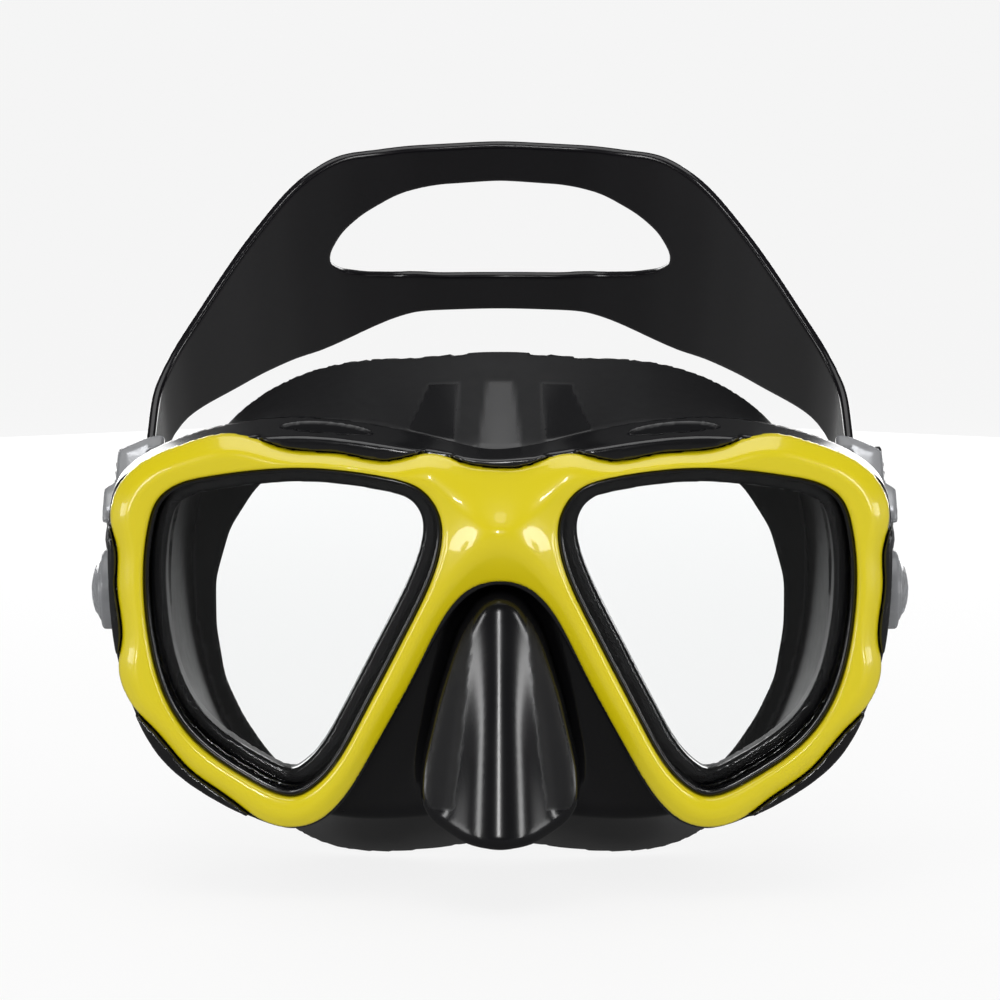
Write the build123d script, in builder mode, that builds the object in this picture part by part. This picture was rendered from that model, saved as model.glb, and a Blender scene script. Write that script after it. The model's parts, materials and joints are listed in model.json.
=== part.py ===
"""Two-lens snorkel mask with a split head strap on swivelling quick-release buckles.

X runs to the wearer's left, Y backwards to the face and Z up, in millimetres. The origin is on the
symmetry plane, level with the middle of the front bezel, on the curved reference surface between the
bezel and the frame. Left-hand pieces are drawn and the right-hand ones are their mirror images.
"""

import os
from math import atan2, cos, radians, sin, sqrt

from build123d import *

os.makedirs("parts", exist_ok=True)

# ---------------------------------------------------------------- driving dimensions
WRAP_RADIUS = 400.0  # seen from above, the front curves back to the sides on this radius
THROUGH = 90.0  # half length of a prism that only has to pass through everything
GAP = 0.1  # assembly clearance between neighbours
RUN = 0.05  # running clearance on a radius

# Depths are measured backwards from the curved reference surface.
BEZEL_FRONT, BEZEL_BACK = -4.5, 0.4
BEZEL_SEAT = BEZEL_BACK + GAP
BEZEL_FIT = 0.15  # clearance round the bezel's edge
FRAME_FRONT, LEDGE_FRONT, FRAME_BACK = -2.6, 8.0, 9.8
SKIRT_FRONT, SKIRT_FRONT_BACK = FRAME_BACK + GAP, FRAME_BACK + GAP + 2.2

# The flat lens stands square to the wrap at its own centre. Margins are outwards from the opening.
LENS_CENTRE_X = 45.0
LENS_FRONT, LENS_BACK = 3.2, 6.4
LENS_MARGIN = 1.0
POCKET_MARGIN = LENS_MARGIN + 0.2
FLANGE_MARGIN = LENS_MARGIN - 0.1  # retainer and skirt flanges that hold the lens
RIM_INNER, RIM_OUTER = -1.1, -0.15  # the retainer's rim, seen inside the bezel
RIM_FRONT = -2.4
LEDGE_MARGIN = -0.9  # the frame's rear ledge reaches inside the opening
SEAT_OUTER, SEAT_INNER = LEDGE_MARGIN - GAP, -4.3  # the skirt's black seat, seen through the lens

FACE_FRONT, FACE_RADIUS = 40.0, 140.0  # the face seal follows this upright cylinder
SKIRT_WALL, LIP_THICK = 2.2, 1.8
SKIRT_SECTION_FRONT, SKIRT_SECTION_REAR = 5.0, 62.0
NOSE_WALL, NOSE_BACK = 2.0, 15.0

# Buckle and strap: u runs along the strap as worn, v across its width, both from the swivel axis.
PIVOT_Y, PIVOT_Z = 28.5, 5.0
STRAP_TILT = 46.0
EAR_IN, EAR_OUT, EAR_RADIUS = 76.7, 79.3, 7.5
EAR_ROOT_Y = 16.2
PIN_RADIUS, PIN_HEAD_RADIUS, PIN_HEAD = 3.0, 4.2, 1.2
CLIP_RADIUS, CLIP_THICK = 5.0, 0.9
CLIP_IN = EAR_IN - GAP - CLIP_THICK
PIN_START = CLIP_IN - 2 * GAP  # the pin's inner end stands just proud of its clip
PLATE_IN, PLATE_OUT = EAR_OUT + 0.2, 82.0
HUB_OUT, HUB_RADIUS, WELL_RADIUS = 84.5, 9.0, 7.6
RAIL_IN, RAIL_OUT, RAIL_TOP = 11.6, 14.0, 88.6
RAIL_STEP_U, RAIL_LOW = 17.0, 86.0  # behind the step the strap's teeth stand proud of the rails
PLATE_END_U, RAIL_END_U = 12.4, 33.0
RAIL_NOSE_U, RAIL_NOSE_V = 8.9, 12.6  # the rails taper in towards the hub
SLOT_U, SLOT_LENGTH = 8.0, 4.0  # cut in the hub's rim for the pawl's inner arm
GUIDE_U, GUIDE_IN, GUIDE_WALL = 28.5, 75.6, 1.9  # a cradle, open to the outside
BUTTON_RADIUS, BUTTON_IN, BUTTON_OUT, BUTTON_DISH = 7.5, 87.6, 90.8, 4.0
BUTTON_ROUND = 1.2
PAWL_U, PAWL_X, PAWL_PIN_RADIUS, PAWL_HALF_WIDTH = 11.4, 87.0, 0.8, 4.0
PAWL_PIN_INSET = 1.0
SPRING_RADIUS, SPRING_WIRE, SPRING_TURNS = 2.4, 0.3, 2.5

STRAP_THICK, TAIL_HALF_WIDTH = 2.0, 11.0
ROLLER_U, ROLLER_X = 18.0, 82.2
ROLLER_RADIUS, ROLLER_PIN_RADIUS, ROLLER_HALF_WIDTH = 2.0, 1.0, 11.2
STRAP_BEND = ROLLER_RADIUS + GAP + STRAP_THICK / 2  # centreline radius round the roller
TAIL_END_U = 35.0
TOOTH_PITCH, TOOTH_LENGTH, TOOTH_HEIGHT, TOOTH_HALF_WIDTH = 2.4, 1.1, 0.6, 8.0
TOOTH_FIRST_U, TOOTH_COUNT = 21.8, 6

# ---------------------------------------------------------------- outlines, as (x, z)
# Left halves, from the top centre round to the nose arch.
BEZEL_OUTLINE = [
    (0, 36), (6, 36.6), (15, 39.2), (24, 37.4), (34, 38.9), (46.5, 39.9), (52, 41.7), (58, 43),
    (68, 40.7), (77.4, 36.6), (82.6, 31.5), (84.8, 22.8), (83.4, 17), (83.6, 9.7), (82.7, -4),
    (83.4, -7.3), (79.9, -18.3), (75.4, -22.8), (67.9, -31.2), (59.2, -37.2), (52.6, -41.9),
    (45.5, -43.6), (39.6, -41.9), (34.4, -37.1), (27.3, -25.5), (18.9, -10), (13.8, 0.4), (10.3, 6),
    (5.2, 10.2), (0, 11.2),
]
FRAME_OUTLINE = [
    (0, 39), (9.5, 40.5), (19, 42.9), (33, 45.3), (48.5, 45.7), (64, 42.9), (78, 37), (83.3, 32.2),
    (85.7, 22), (85.8, 8), (84, -8), (80.1, -20), (74.8, -29), (63.4, -37.8), (52, -43),
    (45.5, -44.4), (39, -42.6), (33.4, -37.4), (26.2, -25.3), (17.7, -9.6), (12.6, 0), (9.2, 5.1),
    (4.6, 8.9), (0, 10),
]
SKIRT_FRONT_OUTLINE = [
    (0, 35.5), (20, 38.5), (42, 41), (60, 39.5), (71.5, 31), (75.5, 14), (75, -4), (71, -20),
    (60, -32.5), (46, -38), (30, -39), (0, -39),
]
SKIRT_REAR_OUTLINE = [
    (0, 68), (17.6, 65), (39.4, 57), (58.1, 42.5), (68.5, 28), (72.5, 13), (72.5, -4), (69, -21),
    (58, -43), (45.5, -60), (34, -68), (0, -66),
]
# The face opening inside the sealing lip, a left half.
LIP_OPENING = [
    (0, 40), (18, 40), (34, 38), (47, 33), (56, 25), (62, 15), (64.8, 1), (63, -11), (55, -30),
    (48, -39), (38, -45.5), (24, -47), (0, -45),
]
# The bezel's opening round the left lens, a closed loop.
OPENING = [
    (14.4, 29), (18, 32.3), (24, 34.1), (43, 36), (63, 33.8), (70, 31.8), (74, 28.6), (76.2, 23),
    (77.5, 8), (76.6, -2), (71.8, -17.8), (68.2, -23), (54.1, -33.3), (48.8, -35.8), (44.5, -36.3),
    (41, -34.6), (30.7, -20.4), (18.6, 3.2), (12.8, 18), (12.4, 23.5),
]
# Nose pocket: height, half width at the back, half width of the ridge, y of the ridge.
NOSE_SECTIONS = [
    (7.4, 4.6, 1.8, 3.0), (0, 9.4, 4.4, -6.5), (-14, 14.0, 5.6, -11.5), (-28, 17.0, 7.6, -14.5),
    (-37, 17.5, 8.8, -15.5), (-43.6, 13.5, 7.0, -12.5),
]

# ---------------------------------------------------------------- strap, in u, v and x
STRAP_SIDE_RUN = [(78.6, 48), (74.2, 58.5), (66.6, 69), (58.4, 80), (49, 90.5), (37, 99)]  # (x, u)
STRAP_BACK_U = 105.6
STRAP_BACK_EDGE = [
    (0, 30.7), (20, 30), (28, 31.2), (37, 34), (45, 32.5), (50, 29.8), (56, 26.3), (64, 22.8),
    (80, 22),
]  # (x, v)
STRAP_HOLE = [(0, 17.5), (15, 16.8), (25, 14.5), (33, 10.5), (39, 5.2), (41, 0)]  # (x, v)
STRAP_SIDE_EDGE = [(54, TAIL_HALF_WIDTH), (60, 13.6), (67, 20), (76, 34)]  # (u, v)
# The locking pawl's outline about its own pin, as (x, u): inner arm, back, hooked end, belly.
PAWL_OUTLINE = [
    (-0.7, -6.2), (0.5, -6.2), (0.5, -2), (1.5, -0.8), (1.5, 1.2), (0.8, 9), (-0.6, 9), (-0.6, 7),
    (0, 5.6), (-1.4, 0.8), (-1.4, -0.8),
]

LENS_TURN = atan2(LENS_CENTRE_X, WRAP_RADIUS)
TILT = radians(STRAP_TILT)
U_AXIS, V_AXIS = (0, cos(TILT), sin(TILT)), (0, -sin(TILT), cos(TILT))
PIVOT = (0, PIVOT_Y, PIVOT_Z)
SIDE_VIEW = Plane(origin=PIVOT, x_dir=U_AXIS, z_dir=(1, 0, 0))  # sketched in (u, v), raised along x
TOP_VIEW = Plane(origin=PIVOT, x_dir=(1, 0, 0), z_dir=V_AXIS)  # sketched in (x, u), raised along v
BACK_VIEW = Plane(origin=PIVOT, x_dir=(1, 0, 0), z_dir=(0, -cos(TILT), -sin(TILT)))  # in (x, v)


# ---------------------------------------------------------------- shared shapes
def wrap_y(x):
    """How far back the curved reference surface is at x."""
    return WRAP_RADIUS - sqrt(WRAP_RADIUS**2 - x**2)


LENS_PLANE = Plane(
    origin=(LENS_CENTRE_X, wrap_y(LENS_CENTRE_X), 0),
    x_dir=(cos(LENS_TURN), sin(LENS_TURN), 0),
    z_dir=(-sin(LENS_TURN), cos(LENS_TURN), 0),
)


def mirrored(half):
    """The whole closed loop of an outline whose two ends lie on the symmetry plane."""
    return half + [(-x, z) for x, z in reversed(half[1:-1])]


def grown(points, amount):
    """The points of a clockwise closed loop, moved outwards square to the spline through them."""
    loop = Edge.make_spline([Vector(x, z) for x, z in points], periodic=True)
    moved = []
    for x, z in points:
        along = loop.tangent_at(Vector(x, z))
        moved.append((x - amount * along.Y, z + amount * along.X))
    return moved


def prism(points, grow=0.0):
    """A prism along Y through the whole mask, from a closed outline in X and Z."""
    with BuildPart() as body:
        with BuildSketch(Plane.XZ):
            with BuildLine():
                Spline(*grown(points, grow), periodic=True)
            make_face()
        extrude(amount=THROUGH, both=True)
    return body.part


def slab(front, back):
    """The space between two depths behind the curved reference surface."""
    with BuildPart() as body:
        with BuildSketch(Plane.XY.offset(-THROUGH)):
            with Locations((0, WRAP_RADIUS)):
                Circle(WRAP_RADIUS - front)
                Circle(WRAP_RADIUS - back, mode=Mode.SUBTRACT)
        extrude(amount=2 * THROUGH)
    return body.part


def behind(depth):
    """Everything further back than one depth behind the curved reference surface."""
    with BuildPart() as body:
        with BuildSketch(Plane.XY.offset(-THROUGH)):
            with Locations((0, WRAP_RADIUS)):
                Circle(WRAP_RADIUS - depth)
        extrude(amount=2 * THROUGH)
    return body.part


def lens_slab(front, back):
    """A flat slab square to the left lens, between two depths behind its tangent plane."""
    with BuildPart() as body:
        with BuildSketch(LENS_PLANE.offset(front)):
            Rectangle(4 * THROUGH, 4 * THROUGH)
        extrude(amount=back - front)
    return body.part


def face_side(clearance):
    """The upright cylinder that the face seal follows, grown by a clearance."""
    with BuildPart() as body:
        with BuildSketch(Plane.XY.offset(-THROUGH)):
            with Locations((0, FACE_FRONT + FACE_RADIUS)):
                Circle(FACE_RADIUS + clearance)
        extrude(amount=2 * THROUGH)
    return body.part


def other_side(part):
    """The mirror image of a left-hand piece."""
    return mirror(part, about=Plane.YZ)


def export(part, name):
    part.label = name
    export_step(part, f"parts/{name}.step")


def export_pair(part, name):
    """Writes a left-hand piece and its right-hand mirror image."""
    export(part, f"{name}_left")
    export(other_side(part), f"{name}_right")


# ---------------------------------------------------------------- front: bezel, lenses, frame
opening = prism(OPENING)

with BuildPart() as front_bezel:
    add(prism(mirrored(BEZEL_OUTLINE)))
    add(opening, mode=Mode.SUBTRACT)
    add(other_side(opening), mode=Mode.SUBTRACT)
    add(slab(BEZEL_FRONT, BEZEL_BACK), mode=Mode.INTERSECT)
export(front_bezel.part, "front_bezel")

with BuildPart() as lens:
    add(prism(OPENING, LENS_MARGIN))
    add(lens_slab(LENS_FRONT, LENS_BACK), mode=Mode.INTERSECT)
export_pair(lens.part, "lens")

with BuildPart() as retainer_flange:
    add(prism(OPENING, FLANGE_MARGIN))
    add(slab(BEZEL_SEAT, LENS_BACK), mode=Mode.INTERSECT)

with BuildPart() as lens_retainer:
    add(prism(OPENING, RIM_OUTER))
    add(slab(RIM_FRONT, BEZEL_SEAT + GAP), mode=Mode.INTERSECT)
    add(retainer_flange.part)
    add(prism(OPENING, RIM_INNER), mode=Mode.SUBTRACT)
    add(lens_slab(LENS_FRONT - GAP, THROUGH), mode=Mode.SUBTRACT)
export_pair(lens_retainer.part, "lens_retainer")

with BuildPart() as bezel_recess:
    add(prism(mirrored(BEZEL_OUTLINE), BEZEL_FIT))
    add(slab(FRAME_FRONT - GAP, BEZEL_SEAT), mode=Mode.INTERSECT)

with BuildPart() as lens_recess:
    add(prism(OPENING, POCKET_MARGIN))
    add(slab(BEZEL_BACK, LEDGE_FRONT), mode=Mode.INTERSECT)
    add(prism(OPENING, LEDGE_MARGIN))

with BuildPart() as ear:
    with BuildSketch(Plane.YZ.offset(EAR_IN)):
        with Locations((PIVOT_Y, PIVOT_Z)):
            Circle(EAR_RADIUS)
        with Locations((EAR_ROOT_Y, PIVOT_Z)):
            Rectangle(PIVOT_Y - EAR_ROOT_Y, 2 * EAR_RADIUS, align=(Align.MIN, Align.CENTER))
        with Locations((PIVOT_Y, PIVOT_Z)):
            Circle(PIN_RADIUS + RUN, mode=Mode.SUBTRACT)
    extrude(amount=EAR_OUT - EAR_IN)

with BuildPart() as main_frame:
    add(prism(mirrored(FRAME_OUTLINE)))
    add(slab(FRAME_FRONT, FRAME_BACK), mode=Mode.INTERSECT)
    add(bezel_recess.part, mode=Mode.SUBTRACT)
    add(lens_recess.part, mode=Mode.SUBTRACT)
    add(other_side(lens_recess.part), mode=Mode.SUBTRACT)
    add(ear.part)
    add(other_side(ear.part))
export(main_frame.part, "main_frame")


# ---------------------------------------------------------------- skirt
def skirt_body(inset):
    """The tapering bag between the frame and the face, drawn in by `inset`."""
    with BuildPart() as body:
        sections = (SKIRT_SECTION_FRONT, SKIRT_FRONT_OUTLINE), (SKIRT_SECTION_REAR, SKIRT_REAR_OUTLINE)
        for y, outline in sections:
            with BuildSketch(Plane.XZ.offset(-y)):
                with BuildLine():
                    Spline(*grown(mirrored(outline), -inset), periodic=True)
                make_face()
        loft()
    return body.part


def nose_pocket(inset):
    """The nose pocket as a loft of level sections, drawn in by `inset`."""
    with BuildPart() as body:
        for z, half_back, half_ridge, ridge_y in NOSE_SECTIONS:
            side_y = (ridge_y + NOSE_BACK) / 2
            with BuildSketch(Plane.XY.offset(z + (inset if z < NOSE_SECTIONS[1][0] else 0))):
                Polygon(
                    (half_back - inset, NOSE_BACK),
                    (half_back - inset, side_y),
                    (half_ridge - inset / 2, ridge_y + inset),
                    (inset / 2 - half_ridge, ridge_y + inset),
                    (inset - half_back, side_y),
                    (inset - half_back, NOSE_BACK),
                    align=None,
                )
        loft(ruled=True)
    return body.part


with BuildPart() as lens_seat:
    add(prism(OPENING, FLANGE_MARGIN))
    add(slab(BEZEL_SEAT, LEDGE_FRONT - GAP), mode=Mode.INTERSECT)
    add(lens_slab(-THROUGH, LENS_BACK + GAP), mode=Mode.SUBTRACT)

with BuildPart() as seat_neck:
    add(prism(OPENING, SEAT_OUTER))
    add(slab(LEDGE_FRONT - 2 * GAP, SKIRT_FRONT + GAP), mode=Mode.INTERSECT)

with BuildPart() as cavity:
    add(skirt_body(SKIRT_WALL))
    add(behind(SKIRT_FRONT_BACK), mode=Mode.INTERSECT)
    add(face_side(LIP_THICK), mode=Mode.SUBTRACT)

with BuildPart() as window:
    add(prism(OPENING, SEAT_INNER))
    add(slab(BEZEL_SEAT, SKIRT_FRONT_BACK + GAP), mode=Mode.INTERSECT)

with BuildPart() as skirt:
    add(skirt_body(0))
    add(behind(SKIRT_FRONT), mode=Mode.INTERSECT)
    add(nose_pocket(0))
    for piece in (lens_seat.part, seat_neck.part):
        add(piece)
        add(other_side(piece))
    add(face_side(0), mode=Mode.SUBTRACT)
    add(cavity.part, mode=Mode.SUBTRACT)
    add(nose_pocket(NOSE_WALL), mode=Mode.SUBTRACT)
    add(window.part, mode=Mode.SUBTRACT)
    add(other_side(window.part), mode=Mode.SUBTRACT)
    with BuildSketch(Plane.XZ.offset(-FACE_FRONT + 2 * LIP_THICK)):
        with BuildLine():
            Spline(*mirrored(LIP_OPENING), periodic=True)
        make_face()
    extrude(amount=-THROUGH, mode=Mode.SUBTRACT)
export(skirt.part, "skirt")

# ---------------------------------------------------------------- buckle, left-hand side
with BuildPart() as swivel_pin:
    with BuildSketch(SIDE_VIEW.offset(PIN_START)):
        Circle(PIN_RADIUS)
    extrude(amount=HUB_OUT + GAP - PIN_START)
    with BuildSketch(SIDE_VIEW.offset(HUB_OUT + GAP)):
        Circle(PIN_HEAD_RADIUS)
    extrude(amount=PIN_HEAD)
export_pair(swivel_pin.part, "swivel_pin")

with BuildPart() as swivel_clip:
    with BuildSketch(SIDE_VIEW.offset(CLIP_IN)):
        Circle(CLIP_RADIUS)
        Circle(PIN_RADIUS + RUN, mode=Mode.SUBTRACT)
    extrude(amount=CLIP_THICK)
export_pair(swivel_clip.part, "swivel_clip")

with BuildPart() as buckle_body:
    with BuildSketch(SIDE_VIEW.offset(PLATE_IN)):
        with BuildLine():
            shoulder = (PLATE_END_U, RAIL_OUT)
            ThreePointArc((0, HUB_RADIUS), (-HUB_RADIUS, 0), (0, -HUB_RADIUS))
            Polyline((0, -HUB_RADIUS), (PLATE_END_U, -RAIL_OUT), shoulder, (0, HUB_RADIUS))
        make_face()
    extrude(amount=PLATE_OUT - PLATE_IN)
    with BuildSketch(SIDE_VIEW.offset(PLATE_IN)):
        Circle(HUB_RADIUS)
    extrude(amount=HUB_OUT - PLATE_IN)
    with BuildSketch(SIDE_VIEW.offset(HUB_OUT)):
        Circle(HUB_RADIUS)
        Circle(WELL_RADIUS, mode=Mode.SUBTRACT)
    extrude(amount=RAIL_TOP - HUB_OUT)
    for side in (-1, 1):
        with BuildSketch(SIDE_VIEW.offset(PLATE_IN)):
            with BuildLine():
                Polyline(
                    (RAIL_NOSE_U, side * RAIL_IN),
                    (RAIL_NOSE_U, side * RAIL_NOSE_V),
                    (PLATE_END_U, side * RAIL_OUT),
                    (RAIL_END_U, side * RAIL_OUT),
                    (RAIL_END_U, side * RAIL_IN),
                    close=True,
                )
            make_face()
        extrude(amount=RAIL_TOP - PLATE_IN)
    with BuildSketch(SIDE_VIEW.offset(RAIL_LOW)):
        with Locations((RAIL_STEP_U, 0)):
            Rectangle(RAIL_END_U, 2 * RAIL_OUT, align=(Align.MIN, Align.CENTER))
    extrude(amount=RAIL_TOP - RAIL_LOW, mode=Mode.SUBTRACT)
    with BuildSketch(SIDE_VIEW.offset(GUIDE_IN)):
        with Locations(((GUIDE_U + RAIL_END_U) / 2, 0)):
            Rectangle(RAIL_END_U - GUIDE_U, 2 * RAIL_OUT)
    extrude(amount=RAIL_LOW - GUIDE_IN)
    with BuildSketch(SIDE_VIEW.offset(GUIDE_IN + GUIDE_WALL)):
        with Locations(((GUIDE_U + RAIL_END_U) / 2, 0)):
            Rectangle(RAIL_END_U - GUIDE_U + 2 * GAP, 2 * RAIL_IN)
    extrude(amount=RAIL_LOW - GUIDE_IN - GUIDE_WALL, mode=Mode.SUBTRACT)
    with BuildSketch(SIDE_VIEW.offset(PLATE_IN)):
        Circle(PIN_RADIUS + RUN)
    extrude(amount=HUB_OUT - PLATE_IN, mode=Mode.SUBTRACT)
    with BuildSketch(SIDE_VIEW.offset(HUB_OUT)):
        with Locations((SLOT_U, 0)):
            Rectangle(SLOT_LENGTH, 2 * PAWL_HALF_WIDTH + 4 * GAP)
    extrude(amount=RAIL_TOP - HUB_OUT, mode=Mode.SUBTRACT)
    with BuildSketch(TOP_VIEW.offset(-RAIL_OUT)):
        with Locations((ROLLER_X, ROLLER_U)):
            Circle(ROLLER_PIN_RADIUS + RUN)
        with Locations((PAWL_X, PAWL_U)):
            Circle(PAWL_PIN_RADIUS + RUN)
    extrude(amount=2 * RAIL_OUT, mode=Mode.SUBTRACT)
export_pair(buckle_body.part, "buckle_body")

with BuildPart() as roller_pin:
    with BuildSketch(TOP_VIEW.offset(-RAIL_OUT + GAP)):
        with Locations((ROLLER_X, ROLLER_U)):
            Circle(ROLLER_PIN_RADIUS)
    extrude(amount=2 * (RAIL_OUT - GAP))
export_pair(roller_pin.part, "roller_pin")

with BuildPart() as strap_roller:
    with BuildSketch(TOP_VIEW.offset(-ROLLER_HALF_WIDTH)):
        with Locations((ROLLER_X, ROLLER_U)):
            Circle(ROLLER_RADIUS)
            Circle(ROLLER_PIN_RADIUS + RUN, mode=Mode.SUBTRACT)
    extrude(amount=2 * ROLLER_HALF_WIDTH)
export_pair(strap_roller.part, "strap_roller")

with BuildPart() as pawl_pin:
    with BuildSketch(TOP_VIEW.offset(GAP + PAWL_PIN_INSET - RAIL_OUT)):
        with Locations((PAWL_X, PAWL_U)):
            Circle(PAWL_PIN_RADIUS)
    extrude(amount=2 * (RAIL_OUT - PAWL_PIN_INSET - GAP))
export_pair(pawl_pin.part, "pawl_pin")

with BuildPart() as locking_pawl:
    with BuildSketch(TOP_VIEW.offset(-PAWL_HALF_WIDTH)):
        with BuildLine():
            Polyline(*[(PAWL_X + x, PAWL_U + u) for x, u in PAWL_OUTLINE], close=True)
        make_face()
        with Locations((PAWL_X, PAWL_U)):
            Circle(PAWL_PIN_RADIUS + RUN, mode=Mode.SUBTRACT)
    extrude(amount=2 * PAWL_HALF_WIDTH)
export_pair(locking_pawl.part, "locking_pawl")

with BuildPart() as release_button:
    with BuildSketch(SIDE_VIEW.offset(BUTTON_IN)):
        Circle(BUTTON_RADIUS)
    extrude(amount=BUTTON_OUT - BUTTON_IN)
    outer_edge = release_button.edges().filter_by(GeomType.CIRCLE).sort_by(Axis.X)[-1]
    fillet(outer_edge, radius=BUTTON_ROUND)
    with BuildSketch(SIDE_VIEW.offset(BUTTON_IN)):
        Circle(BUTTON_DISH)
    extrude(amount=(BUTTON_OUT - BUTTON_IN) / 2, mode=Mode.SUBTRACT)
export_pair(release_button.part, "release_button")

spring_start = HUB_OUT + GAP + PIN_HEAD + SPRING_WIRE + GAP
spring_end = (BUTTON_IN + BUTTON_OUT) / 2 - SPRING_WIRE - GAP
spring_rise = spring_end - spring_start
with BuildPart() as button_spring:
    with BuildLine() as coil:
        Helix(
            pitch=spring_rise / SPRING_TURNS,
            height=spring_rise,
            radius=SPRING_RADIUS,
            center=(spring_start, PIVOT_Y, PIVOT_Z),
            direction=(1, 0, 0),
        )
    with BuildSketch(Plane(origin=coil.line @ 0, z_dir=coil.line % 0)):
        Circle(SPRING_WIRE)
    sweep()
export_pair(button_spring.part, "button_spring")


# ---------------------------------------------------------------- strap
def strap_centreline():
    """Left half of the strap in plan, from the free tail round the roller to the middle of the back."""
    outer_x, inner_x = ROLLER_X + STRAP_BEND, ROLLER_X - STRAP_BEND
    Line((outer_x, TAIL_END_U), (outer_x, ROLLER_U))
    ThreePointArc((outer_x, ROLLER_U), (ROLLER_X, ROLLER_U - STRAP_BEND), (inner_x, ROLLER_U))
    Line((inner_x, ROLLER_U), (inner_x, RAIL_END_U + 1))
    Spline(
        (inner_x, RAIL_END_U + 1),
        *STRAP_SIDE_RUN,
        (0, STRAP_BACK_U),
        tangents=((0, 1), (-1, 0)),
    )


with BuildPart() as strap_half:
    with BuildSketch(TOP_VIEW.offset(-THROUGH / 2)):
        with BuildLine():
            strap_centreline()
        trace(line_width=STRAP_THICK)
    extrude(amount=THROUGH)

with BuildPart() as strap_side:
    with BuildSketch(SIDE_VIEW):
        with BuildLine():
            upper = [(0, TAIL_HALF_WIDTH), *STRAP_SIDE_EDGE, (2 * THROUGH, STRAP_SIDE_EDGE[-1][1])]
            Polyline(*upper, *[(u, -v) for u, v in reversed(upper)], close=True)
        make_face()
    extrude(amount=THROUGH)

with BuildPart() as strap_back:
    with BuildSketch(BACK_VIEW):
        with BuildLine():
            top = Spline(*STRAP_BACK_EDGE, tangents=((1, 0), (1, 0)))
            bottom = Spline(*[(x, -v) for x, v in STRAP_BACK_EDGE], tangents=((1, 0), (1, 0)))
            Line(top @ 0, bottom @ 0)
            Polyline(top @ 1, (2 * THROUGH, (top @ 1).Y), (2 * THROUGH, (bottom @ 1).Y), bottom @ 1)
        make_face()
    extrude(amount=-2 * THROUGH)

with BuildPart() as strap_hole:
    with BuildSketch(BACK_VIEW.offset(-TAIL_END_U)):
        with BuildLine():
            lower = [(x, -v) for x, v in reversed(STRAP_HOLE[:-1])]
            Spline(*mirrored(STRAP_HOLE + lower), periodic=True)
        make_face()
    extrude(amount=-THROUGH)

with BuildPart() as strap:
    add(strap_half.part)
    add(strap_side.part, mode=Mode.INTERSECT)
    add(strap_back.part, mode=Mode.INTERSECT)
    with BuildSketch(SIDE_VIEW.offset(ROLLER_X + STRAP_BEND)):
        for tooth in range(TOOTH_COUNT):
            with Locations((TOOTH_FIRST_U + tooth * TOOTH_PITCH, 0)):
                Rectangle(TOOTH_LENGTH, 2 * TOOTH_HALF_WIDTH)
    extrude(amount=STRAP_THICK / 2 + TOOTH_HEIGHT)
    add(strap_hole.part, mode=Mode.SUBTRACT)
    mirror(about=Plane.YZ)
export(strap.part, "strap")
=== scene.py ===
"""Looks of the two-window snorkel mask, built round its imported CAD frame.

Lengths inside this script are millimetres in the row frame: X to the wearer's left, Y backwards, Z up.
Each visible shell is the zero surface of a smooth field, meshed with surface nets. Its outlines are
read from the CAD nodes, so every shell stays on the frame that it stands for.
"""

import json
from itertools import product
from math import atan2, cos, pi, radians, sin

import bpy
import numpy as np
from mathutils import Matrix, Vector

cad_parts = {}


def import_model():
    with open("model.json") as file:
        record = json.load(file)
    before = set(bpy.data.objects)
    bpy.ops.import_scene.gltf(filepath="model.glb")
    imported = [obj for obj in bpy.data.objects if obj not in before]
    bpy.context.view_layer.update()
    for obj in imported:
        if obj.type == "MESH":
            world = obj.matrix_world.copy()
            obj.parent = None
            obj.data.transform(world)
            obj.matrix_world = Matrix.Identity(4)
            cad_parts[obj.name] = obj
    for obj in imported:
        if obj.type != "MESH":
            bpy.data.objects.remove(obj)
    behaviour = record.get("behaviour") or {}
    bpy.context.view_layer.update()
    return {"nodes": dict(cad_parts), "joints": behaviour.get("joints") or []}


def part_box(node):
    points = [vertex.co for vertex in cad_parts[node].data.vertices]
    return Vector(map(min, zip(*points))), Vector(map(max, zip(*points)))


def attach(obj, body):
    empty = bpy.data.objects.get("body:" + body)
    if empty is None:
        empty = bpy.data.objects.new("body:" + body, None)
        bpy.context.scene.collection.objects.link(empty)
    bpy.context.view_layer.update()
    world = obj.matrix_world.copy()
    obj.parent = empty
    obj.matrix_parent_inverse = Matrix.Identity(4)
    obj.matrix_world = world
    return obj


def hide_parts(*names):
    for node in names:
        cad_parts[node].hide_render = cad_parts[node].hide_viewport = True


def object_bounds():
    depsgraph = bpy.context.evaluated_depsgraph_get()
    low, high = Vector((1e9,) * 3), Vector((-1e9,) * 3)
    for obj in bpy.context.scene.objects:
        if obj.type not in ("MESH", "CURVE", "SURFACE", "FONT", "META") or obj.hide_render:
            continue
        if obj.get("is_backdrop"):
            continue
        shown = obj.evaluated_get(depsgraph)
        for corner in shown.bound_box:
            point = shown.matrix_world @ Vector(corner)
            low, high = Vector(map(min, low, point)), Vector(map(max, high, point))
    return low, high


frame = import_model()

# ---------------------------------------------------------------- dimensions
WRAP_RADIUS = 400.0  # the front's curve, seen from above
BEZEL_BACK = 0.4  # depths are behind the curved reference surface
BEZEL_SEAT = 0.5
LEDGE_FRONT, FRAME_BACK = 8.0, 9.8
LENS_CENTRE_X, LENS_FRONT, LENS_BACK = 45.0, 3.2, 6.4
FACE_FRONT, FACE_RADIUS = 40.0, 140.0  # upright cylinder that the face seal follows
STRAP_THICK = 2.0
EAR_INNER, EAR_OUTER, EAR_RADIUS = 76.7, 79.3, 7.5

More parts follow.
